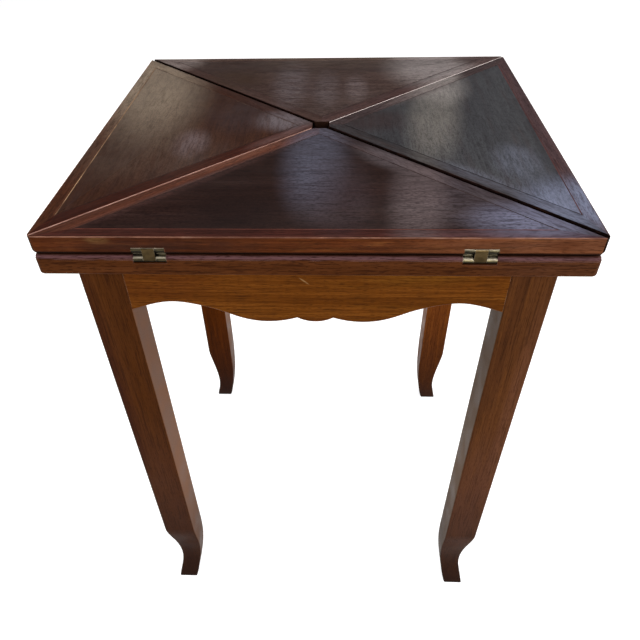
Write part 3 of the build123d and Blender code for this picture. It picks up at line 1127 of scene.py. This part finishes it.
@dataclass
class ClothSheet:
    """A sheet of glued cloth with a soft cut edge, where its CAD node lies.

    Attributes:
        node: The CAD node.
        body: The CAD body that it moves with.
        slot: Not used.
        cloth: Its finish.
        edge_mm: Width of the softened cut edge.
        sharp_deg: Edges sharper than this are cut edges.
    """

    node: str
    body: str
    slot: str
    cloth: Material
    edge_mm: float = 0.35
    sharp_deg: float = 60.0

    def sheets(self) -> list[Surface]:
        """The node's sheets, one surface each.

        Returns:
            The separate surfaces.
        """
        whole = node_surface(self.node)
        whole.verts.ensure_lookup_table()
        left = set(whole.verts)
        islands = []
        while left:
            island, edge = set(), [min(left, key=lambda corner: corner.index)]
            while edge:
                corner = edge.pop()
                if corner in island:
                    continue
                island.add(corner)
                edge.extend(side.other_vert(corner) for side in corner.link_edges)
            left -= island
            islands.append({corner.index for corner in island})
        surfaces = []
        for island in islands:
            surface = whole.copy()
            surface.verts.ensure_lookup_table()
            others = [corner for corner in surface.verts if corner.index not in island]
            bmesh.ops.delete(surface, geom=others, context="VERTS")
            surfaces.append(surface)
        whole.free()
        return surfaces

    def build(self) -> None:
        for place, surface in enumerate(self.sheets()):
            rims = [
                edge
                for edge in surface.edges
                if edge.calc_face_angle(0.0) > math.radians(self.sharp_deg)
                and abs(edge.verts[0].co.z - edge.verts[1].co.z) < SLACK
            ]
            bmesh.ops.bevel(
                surface,
                geom=rims,
                offset=self.edge_mm * MM,
                segments=3,
                profile=0.5,
                affect="EDGES",
            )
            area = sum(face.calc_area() for face in surface.faces if face.normal.z > LEVEL)
            name = f"cloth_{self.node}" if place == 0 else f"cloth_{self.node}_{place}"
            mesh = mesh_from(surface, name)
            mesh.materials.append(self.cloth)
            piece = place_piece(mesh, self.node, self.body)


@dataclass
class FoldingTop:
    """The bed, its four flaps and the baize of all five.

    Attributes:
        seed_step: How far apart in the log the veneers of two flaps were cut.
    """

    seed_step: float = 0.37

    def build(self) -> None:
        """Builds the folded top."""
        baize = WoolCloth("green_baize").material()
        dress_node("bed_board", BED.material())
        ClothSheet("bed_baize", "top", "green_baize", baize).build()
        for side in Side:
            Flap(side, seed=self.seed_step * side.value).build()
            body = "flap_" + side.label
            ClothSheet("flap_baize_" + side.label, body, "green_baize", baize).build()


@dataclass
class LinkHinges:
    """The double pin link hinges with their pins and screws.

    Attributes:
        arris_mm: Width of the filed arrises of leaves and links.
    """

    arris_mm: float = 0.22

    def filed(self, node: str, body: str, brass: Material) -> None:
        """Replaces a sharp CAD node with a copy that has filed arrises.

        Args:
            node: The CAD node.
            body: The CAD body that it moves with.
            brass: Its finish.
        """
        mesh = mesh_from(node_surface(node), "filed_" + node)
        mesh.materials.append(brass)
        soften(place_piece(mesh, node, body), self.arris_mm)

    def build(self) -> None:
        """Builds the hinges of the four sides."""
        brass = Brass("hinge_brass").material()
        olive = Brass("link_brass", tarnished="#54452b", clean="#625135", top_highlight=0.5).material()
        screws = Brass("screw_brass").material()
        steel = DarkMetal("pin_steel", skin="#6e6b66").material()
        dress_node("bed_hinge_pins", steel)
        dress_node("bed_leaf_screws", screws)
        for side in Side:
            label = side.label
            self.filed("bed_leaves_" + label, "top", brass)
            self.filed("flap_leaves_" + label, "flap_" + label, brass)
            self.filed("hinge_links_" + label, "links_" + label, olive)
            dress_node("flap_hinge_pins_" + label, steel)
            dress_node("flap_leaf_screws_" + label, screws)


@dataclass
class StandingFrame:
    """The legs, aprons, corner blocks and the rail with its pivot.

    Attributes:
        leg_step: How far apart in the log two legs were cut.
        apron_step: How far apart in the log two aprons were cut.
    """

    leg_step: float = 0.31
    apron_step: float = 0.17

    def legs(self) -> None:
        """Dresses the four legs."""
        for corner in Corner:
            wood = replace(
                LEGS[corner],
                name="leg_mahogany_" + corner.label,
                shift=(self.leg_step * corner.value, 0.07, 0.11),
            )
            dress_node("leg_" + corner.label, wood.material())

    def aprons(self) -> None:
        """Dresses the four aprons."""
        for side in Side:
            wood = replace(
                APRON,
                name="apron_mahogany_" + side.label,
                fibre=side.fibre,
                shift=(self.apron_step * side.value, 0.0, 0.05),
            )
            dress_node("apron_" + side.label, wood.material())

    def inner_pieces(self) -> None:
        """Dresses what the top and the aprons hide."""
        rail = replace(BEECH, name="beech_rail", fibre=Fibre.ALONG_Y)
        standing = replace(BEECH, name="beech_upright", fibre=Fibre.ALONG_Z).material()
        steel = DarkMetal("screw_steel", skin="#6a675f").material()
        for corner in Corner:
            dress_node("corner_block_" + corner.label, standing)
        dress_node("pivot_rail", rail.material())
        dress_node("stop_peg", BEECH.material())
        for node in ("corner_block_screws", "pivot_plate_screws", "pivot_washer", "pivot_nut"):
            dress_node(node, steel)
        dress_node("pivot_bush", Brass("bush_brass").material())
        dress_node("pivot_plate", IRON.material())
        felt = WoolCloth("glide_felt", ground="#2c4a34", light="#3c5a42", sheen=0.2).material()
        ClothSheet("glide_felts", "frame", "glide_felt", felt, edge_mm=0.25).build()

    def build(self) -> None:
        """Dresses the frame."""
        self.legs()
        self.aprons()
        self.inner_pieces()


# Painted sheens: reflections painted into the colour of the top. On a near black
# ground the eye gets cold grey gleams, coldest at the front right corner, warm
# brown ones between them, and a few darker places


def sheen(
    middle: Pair,
    reach: Pair,
    colour: str,
    strength: float,
    turn_deg: float = 0.0,
    smeared: float = 0.5,
) -> Patch:
    """A painted gleam or darker place on the upper face of the folded top.

    Args:
        middle: Its place along X and Y, in metres.
        reach: How far it spreads along both, in metres.
        colour: Its hex colour.
        strength: How fully it covers the wood at its middle, from 0 to 1.
        turn_deg: Its turn on the face.
        smeared: How much of it is broken up into smears, from 0 to 1.

    Returns:
        The patch.
    """
    turn = (0.0, 0.0, turn_deg)
    return Patch((*middle, TOP_HEIGHT), (*reach, SHEEN_DEPTH), colour, strength, turn, smeared)


PAINTED_SHEENS = {
    Side.FRONT: (
        sheen((-0.134, -0.166), (0.230, 0.012), "#3f2a26", 0.88, 45.0, 0.3),
        sheen((-0.100, -0.107), (0.110, 0.009), "#6f4738", 0.7, 45.0, 0.3),
        sheen((0.084, -0.110), (0.070, 0.030), "#5a5052", 0.75, -45.0, 0.3),
        sheen((-0.085, -0.238), (0.090, 0.075), "#1d1210", 0.85, smeared=0.2),
        sheen((0.170, -0.292), (0.120, 0.012), "#5a4143", 0.6),
        sheen((0.170, -0.200), (0.110, 0.120), "#473f43", 0.7),
        sheen((-0.004, -0.105), (0.055, 0.190), "#545360", 0.85, smeared=0.3),
        sheen((0.028, -0.200), (0.050, 0.140), "#403539", 0.5, smeared=0.3),
        sheen((0.119, -0.190), (0.044, 0.200), "#5c4f4f", 0.82, -7.4, 0.3),
        sheen((0.236, -0.262), (0.096, 0.056), "#67677a", 0.92, smeared=0.3),
    ),
    Side.RIGHT: (
        sheen((0.068, 0.018), (0.070, 0.058), "#362c2c", 0.9, smeared=0.3),
        sheen((0.158, 0.040), (0.050, 0.230), "#68635e", 0.92, -7.4, 0.3),
        sheen((0.172, 0.165), (0.062, 0.120), "#8b8480", 0.85),
        sheen((0.243, -0.122), (0.042, 0.074), "#575963", 0.85),
        sheen((0.150, 0.128), (0.110, 0.022), "#655a58", 0.7, 45.0, 0.4),
        sheen((0.195, -0.165), (0.100, 0.020), "#56565f", 0.7, -45.0, 0.4),
        sheen((0.293, -0.224), (0.088, 0.084), "#6f7387", 0.95, smeared=0.3),
    ),
    Side.BACK: (
        sheen((-0.020, 0.330), (0.400, 0.110), "#55473f", 0.75),
        sheen((-0.248, 0.280), (0.060, 0.060), "#7b6f6b", 0.85),
        sheen((-0.150, 0.255), (0.080, 0.060), "#382823", 0.85),
        sheen((-0.140, 0.190), (0.070, 0.070), "#37281f", 0.8),
        sheen((-0.050, 0.170), (0.040, 0.150), "#605759", 0.6, smeared=0.8),
        sheen((0.004, 0.150), (0.030, 0.110), "#5e5557", 0.5, smeared=0.8),
        sheen((0.050, 0.150), (0.024, 0.080), "#685c5c", 0.6, smeared=0.8),
        sheen((0.176, 0.250), (0.100, 0.150), "#837a78", 0.92, smeared=0.2),
        sheen((0.262, 0.285), (0.062, 0.040), "#4a3c3a", 0.9, smeared=0.2),
    ),
    Side.LEFT: (
        sheen((-0.240, -0.080), (0.140, 0.130), "#4b3b32", 0.7),
        sheen((-0.114, 0.036), (0.066, 0.088), "#352827", 0.8),
        sheen((-0.268, 0.170), (0.110, 0.290), "#7d6e5f", 0.95, 10.6, 0.2),
        sheen((-0.168, -0.060), (0.032, 0.060), "#5e5050", 0.75, smeared=0.6),
        sheen((-0.048, 0.016), (0.056, 0.054), "#645b5e", 0.85),
        sheen((-0.055, -0.040), (0.075, 0.012), "#6a4e4a", 0.6, 45.0, 0.4),
    ),
}

# Mahogany veneer laid in the middle of each flap, its polish gone near black
FIELD = Timber(
    "field_veneer",
    pore="#120a0a",
    flame="#463431",
    streak_mm=(60.0, 2.2),
    pore_mm=(5.0, 1.6),
    pore_limits=(0.48, 0.6),
    contrast=(0.5, 0.5, 0.4, 0.25),
    roughness=(0.3, 0.46),
)
# Each flap's field colour holds painted reflection: the front near black, the others paler and
# the right flap grey
FIELDS = {
    Side.FRONT: replace(FIELD, early="#2d1d19", late="#1d110f"),
    Side.RIGHT: replace(FIELD, early="#3f3f41", late="#302f32", contrast=(0.5, 0.5, 0.27, 0.25)),
    Side.BACK: replace(FIELD, early="#473833", late="#342724"),
    Side.LEFT: replace(FIELD, early="#3c251b", late="#291712", contrast=(0.5, 0.5, 0.24, 0.25)),
}
# Straight-grained mahogany veneer round it, redder than the field
BAND = Timber(
    "band_veneer",
    pore="#1a0d0a",
    flame="#5d3a2e",
    ribbon_mm=(220.0, 7.0),
    pore_mm=(7.0, 1.5),
    pore_limits=(0.48, 0.64),
    contrast=(0.5, 0.5, 0.38, 0.3),
)
# A stained stringing let in between the two, darker than both where it is whole
LINE = Timber(
    "inlaid_line",
    pore="#1a0d0a",
    flame="#4a332b",
    ribbon_mm=(60.0, 30.0),
    contrast=(0.85, 0.4, 0.2, 0.3),
    gloss=0.03,
)
# The same wood where hands have gone through the polish: dry, pale and uneven,
# with a painted highlight along it
ARRIS = Timber(
    "rubbed_arris",
    pore="#3a2119",
    flame="#b8988a",
    ribbon_mm=(70.0, 30.0),
    streak_mm=(16.0, 8.0),
    contrast=(0.75, 0.5, 0.3, 0.4),
    gloss=0.0,
)
# The moulded mahogany lipping of the hinged edge, orange brown, lighter to the right
# of the front with painted light and darker to its left with painted shade, with a
# painted black shadow all round its foot above the bed
EDGE = Timber(
    "flap_edge",
    early="#6a371a",
    late="#47200c",
    pore="#291307",
    flame="#855028",
    bare="#a8795a",
    ribbon_mm=(90.0, 9.0),
    contrast=(0.7, 0.65, 0.5, 0.6),
    patches=(
        Patch((0.240, -0.300, 0.733), (0.200, 0.02, 0.03), "#80533a", 0.55),
        Patch((-0.160, -0.300, 0.735), (0.150, 0.02, 0.03), "#3f2014", 0.92),
        Patch((-0.225, -0.300, 0.740), (0.018, 0.02, 0.006), "#8f6c42", 0.45),
        Patch((0.0, 0.0, 0.7238), (ALL_ROUND, ALL_ROUND, 0.0042), "#080302", 1.0, smeared=0.0),
    ),
    wear=0.5,
)
# Sawn mahogany that faces its neighbour across a mitre, matt, and darkened near
# black in the gap by dust and painted shade
MITRE = Timber(
    "mitre_edge",
    early="#2c1a12",
    late="#1b100b",
    pore="#100806",
    flame="#382318",
    grime_and_shade="#030202",
    grime_and_shade_mm=14.0,
    grime_and_shade_limits=(0.2, 0.8),
    roughness=(0.7, 0.85),
    gloss=0.0,
)
# Planed mahogany that the baize and the bed hide, without polish
CORE = Timber(
    "flap_core",
    early="#5b3420",
    late="#432414",
    gloss=0.1,
    roughness=(0.6, 0.75),
    wear=0.35,
)
# Polished mahogany, lighter to the right of the front with painted light, with a
# painted pale reflection along its rounded step and a painted black shadow under
# the flaps
BED = Timber(
    "bed_mahogany",
    fibre=Fibre.ROUND_RIM,
    early="#593117",
    late="#401f09",
    pore="#220e05",
    flame="#653a1e",
    bare="#80605c",
    pore_mm=(8.0, 0.9),
    contrast=(0.45, 0.45, 0.6, 0.4),
    patches=(
        Patch((0.270, -0.300, 0.705), (0.120, 0.05, 0.03), "#613f2d", 0.4),
        Patch((0.0, 0.0, 0.7194), (ALL_ROUND, ALL_ROUND, 0.0030), "#674749", 0.95, smeared=0.05),
        Patch((0.0, 0.0, 0.7230), (ALL_ROUND, ALL_ROUND, 0.0024), "#080302", 1.0, smeared=0.0),
    ),
    wear=0.6,
    wear_mm=1.2,
)
# Polished mahogany sawn along the grain: plain brown, darker towards the feet,
# with a painted pale sheen on the faces that turn inwards and grime and painted
# shade in its hollows
LEG = Timber(
    "leg_mahogany",
    fibre=Fibre.ALONG_Z,
    pore="#1d0e07",
    contrast=(0.4, 0.35, 0.42, 0.35),
    foot_tone_to_mm=300.0,
    painted_inner_sheen_strength=0.85,
    grime_and_shade="#1c0e07",
    grime_and_shade_mm=5.0,
    grime_and_shade_limits=(0.55, 0.8),
    gloss=0.015,
    wear=0.3,
)
# Each leg's colour holds painted light: the back right leg the lightest, and patches paint shade
# and light across the faces of the front legs
LEGS = {
    Corner.FRONT_LEFT: replace(
        LEG,
        early="#5a3214",
        late="#3a1c0a",
        flame="#6e3d12",
        patches=(
            Patch((-0.276, -0.270, 0.480), (0.034, 0.05, 0.33), "#3c1e14", 0.85, smeared=0.2),
            Patch((-0.245, -0.270, 0.230), (0.050, 0.05, 0.24), "#4f2f20", 0.75, smeared=0.2),
        ),
    ),
    Corner.FRONT_RIGHT: replace(
        LEG,
        early="#60391d",
        late="#402211",
        flame="#7c4a20",
        painted_inner_sheen="#78604b",
        patches=(
            Patch((0.264, -0.270, 0.450), (0.016, 0.05, 0.26), "#744a34", 0.6, smeared=0.4),
            Patch((0.245, -0.270, 0.230), (0.050, 0.05, 0.24), "#5f3c2d", 0.7, smeared=0.2),
        ),
    ),
    Corner.BACK_RIGHT: replace(LEG, early="#8d4d1e", late="#5c2d11", flame="#b1611f"),
    Corner.BACK_LEFT: replace(LEG, early="#663108", late="#411b04", flame="#844009"),
}
# Polished mahogany with a broad ribbon, the most golden wood of the table, with
# one pale scratch in front, painted shade to the left of the front and painted
# light to its right, and grime and painted shade in its hollows
APRON = Timber(
    "apron_mahogany",
    early="#794515",
    late="#572c09",
    pore="#2f1707",
    flame="#8f5a1e",
    patches=(
        Patch((-0.190, -0.270, 0.680), (0.110, 0.05, 0.06), "#55280f", 0.5),
        Patch((0.120, -0.270, 0.690), (0.100, 0.05, 0.03), "#85571a", 0.5),
        Patch(
            (-0.012, -0.269, 0.672), (0.009, 1.0, 0.0012), "#b08a5a", 0.8, (0.0, 38.0, 0.0), 0.3
        ),
    ),
    grime_and_shade="#2c1407",
    grime_and_shade_mm=3.0,
    grime_and_shade_limits=(0.55, 0.88),
    wear=0.5,
)
# Bare planed beech, pale and flecked with short pores
BEECH = Timber(
    "beech",
    early="#b08a60",
    late="#9a744c",
    pore="#76552f",
    bare="#c8a880",
    flame="#bd9a70",
    ribbon_mm=(300.0, 30.0),
    pore_mm=(2.4, 0.4),
    contrast=(0.4, 0.4, 0.7, 0.4),
    roughness=(0.55, 0.7),
    gloss=0.2,
    wear=0.2,
)
# Sand-cast iron under a black skin, grainy, with a little rust
IRON = DarkMetal(
    "pivot_iron",
    skin="#3a3836",
    rust="#4a3023",
    grain_mm=0.9,
    metallic=0.6,
    roughness=(0.47, 0.67),
)

# What edges each flap: the light and dark wood of its bands, greyer on the right
# with painted reflection, lines whose stain has gone or darkened, and arrises that
# are pale with wear and painted highlight, one near white with painted highlight
# and two near black with painted shade in the gaps
TRIMS = {
    (Side.FRONT, Edge.OUTER): Trim(
        ("#47241e", "#2c140f"), ("#6a3a30", "#3a1c16"), ("#8a6250", "#50332a", "#a88a78"), 1.0
    ),
    (Side.FRONT, Edge.LEFT): Trim(("#5a3427", "#3f2217")),
    (Side.FRONT, Edge.RIGHT): Trim(("#3a3031", "#282021")),
    (Side.RIGHT, Edge.OUTER): Trim(
        ("#4f3c3d", "#36292b"), ("#5a3634", "#3a2423"), ("#5c4644", "#40302e", "#6e5a58"), 1.4
    ),
    (Side.RIGHT, Edge.LEFT): Trim(
        ("#393638", "#2b292a"), ("#120d0f", "#0c090a"), ("#0a0606", "#060404", "#0e0a0a"), 2.6
    ),
    (Side.RIGHT, Edge.RIGHT): Trim(
        ("#443838", "#302828"), ("#3a2f2f", "#2a2222"), ("#fbeeea", "#e2cfc9", "#fff8f5"), 1.7
    ),
    (Side.BACK, Edge.OUTER): Trim(
        ("#48362f", "#33231e"), ("#3a2b28", "#2a1e1c"), ("#8a6658", "#644638", "#a58674"), 1.4
    ),
    (Side.BACK, Edge.LEFT): Trim(("#4c3936", "#362625"), ("#332524", "#251a19")),
    (Side.BACK, Edge.RIGHT): Trim(
        ("#46342f", "#33231f"), ("#3c2d29", "#2c201d"), ("#0c0706", "#080404", "#120c0a"), 1.6
    ),
    (Side.LEFT, Edge.OUTER): Trim(
        ("#4c2b1c", "#301a10"), ("#9c7c5e", "#4a2f21"), ("#855e4a", "#5d3c2c", "#a07a64"), 1.4
    ),
    (Side.LEFT, Edge.LEFT): Trim(("#3d261e", "#2a1813"), ("#4a392f", "#33251f")),
    (Side.LEFT, Edge.RIGHT): Trim(
        ("#401e15", "#27100b"), arris=("#ab887c", "#7f5a4e", "#bd9c90"), arris_mm=1.0
    ),
}


# Studio


@dataclass(frozen=True)
class Photograph:
    """The camera of the photograph, measured on the table's corners.

    Attributes:
        image_px: Width and height of the photograph.
        focal_px: Focal length in pixels.
        centre_px: Where the line of sight meets the picture.
        place: The camera's place.
        turns_deg: Turn to the right of the +Y direction, tilt above the horizon
            and turn about the line of sight.
        sensor_mm: Width of the sensor that the focal length is told for.
        nearest: How near to the camera things still show.
    """

    image_px: tuple[int, int] = (640, 640)
    focal_px: float = 605.1
    centre_px: Pair = (310.7, 412.6)
    place: Triple = (0.02598, -0.85824, 1.06038)
    turns_deg: Triple = (-3.35, -45.64, -1.53)
    sensor_mm: float = 36.0
    nearest: float = 0.02

    def build(self) -> None:
        """Makes the scene's camera."""
        width, height = self.image_px
        lens = bpy.data.cameras.new("camera")
        lens.sensor_width = self.sensor_mm
        lens.lens = self.focal_px / width * self.sensor_mm
        lens.shift_x = (width / 2 - self.centre_px[0]) / width
        lens.shift_y = (self.centre_px[1] - height / 2) / width
        lens.clip_start = self.nearest
        camera = add_object("camera", lens)
        yaw, pitch, roll = [math.radians(turn) for turn in self.turns_deg]
        level = Matrix.Rotation(-yaw, 4, "Z") @ Matrix.Rotation(math.pi / 2 + pitch, 4, "X")
        camera.matrix_world = (
            Matrix.Translation(self.place) @ level @ Matrix.Rotation(roll, 4, "Z")
        )
        bpy.context.scene.camera = camera
        log.info("camera at %s", self.place)


@dataclass(frozen=True)
class SoftLamp:
    """A square soft box that looks at a point.

    Attributes:
        name: Its name.
        place: Where it hangs.
        target: The point that it faces.
        side: Length of its sides.
        power: Its power in watts.
    """

    name: str
    place: Triple
    target: Triple
    side: float
    power: float

    def build(self) -> None:
        """Hangs the lamp."""
        lamp = bpy.data.lights.new(self.name, "AREA")
        lamp.shape = "SQUARE"
        lamp.size = self.side
        lamp.energy = self.power
        holder = add_object(self.name, lamp)
        holder.location = self.place
        aim = Vector(self.target) - Vector(self.place)
        holder.rotation_euler = aim.to_track_quat("-Z", "Y").to_euler()
        log.info("%s: %g W", self.name, self.power)


@dataclass(frozen=True)
class Studio:
    """A pale floor under soft even light.

    Attributes:
        floor_side: Length of the floor's sides.
        floor_colour: Colour of the floor under the lamps.
        floor_lift: Light of its own that brings the floor to white.
        room_light: Strength of the light from all round.
        lamps: The lamps.
    """

    floor_side: float = 40.0
    floor_colour: str = "#bcbcbc"
    floor_lift: float = 0.85
    room_light: float = 0.14
    lamps: tuple[SoftLamp, ...] = (
        SoftLamp("ceiling_lamp", (0.0, 0.0, 3.8), (0.0, 0.0, 0.7), 2.4, 66.0),
        SoftLamp("front_lamp", (0.9, -3.2, 1.9), (0.0, 0.0, 0.5), 2.2, 84.0),
        SoftLamp("left_lamp", (-3.4, 0.2, 1.9), (0.0, 0.0, 0.5), 1.8, 44.0),
        SoftLamp("right_lamp", (3.4, 0.2, 1.9), (0.0, 0.0, 0.5), 1.8, 56.0),
        SoftLamp("back_lamp", (0.4, 2.0, 4.0), (0.0, 0.0, 0.6), 1.4, 36.0),
    )

    def floor(self) -> None:
        """Lays the floor, which shows white but keeps the table's shadow."""
        half = self.floor_side / 2
        mesh = bpy.data.meshes.new("floor")
        corners = [(-half, -half, 0), (half, -half, 0), (half, half, 0), (-half, half, 0)]
        mesh.from_pydata(corners, [], [(0, 1, 2, 3)])
        material, tree, _ = new_material("studio_floor")
        rays = add_node(tree, "LightPath").outputs
        seen = rays["Is Camera Ray"]
        for kind in ("Is Glossy Ray", "Is Transmission Ray"):
            seen = add_node(tree, "Math", {0: seen, 1: rays[kind]}, operation="MAXIMUM")
        lift = add_node(tree, "Math", {0: seen, 1: self.floor_lift}, operation="MULTIPLY")
        finish_surface(tree, {
            "Base Color": linear(self.floor_colour),
            "Roughness": 1.0,
            "Specular IOR Level": 0.0,
            "Emission Color": WHITE,
            "Emission Strength": lift,
        })
        mesh.materials.append(material)
        add_object("floor", mesh)

    def room(self) -> None:
        """Lights the room evenly from all round."""
        world = bpy.data.worlds.new("room")
        world.use_nodes = True
        background = world.node_tree.nodes["Background"]
        background.inputs["Color"].default_value = WHITE
        background.inputs["Strength"].default_value = self.room_light
        bpy.context.scene.world = world

    def build(self) -> None:
        """Sets up the studio."""
        bpy.context.scene.view_settings.view_transform = "Standard"
        self.floor()
        self.room()
        for lamp in self.lamps:
            lamp.build()


def main() -> None:
    """Builds the table and its studio."""
    logging.basicConfig(level=logging.INFO, format="%(message)s")
    Photograph().build()
    Studio().build()
    StandingFrame().build()
    FoldingTop().build()
    LinkHinges().build()


if __name__ == "__main__":
    main()
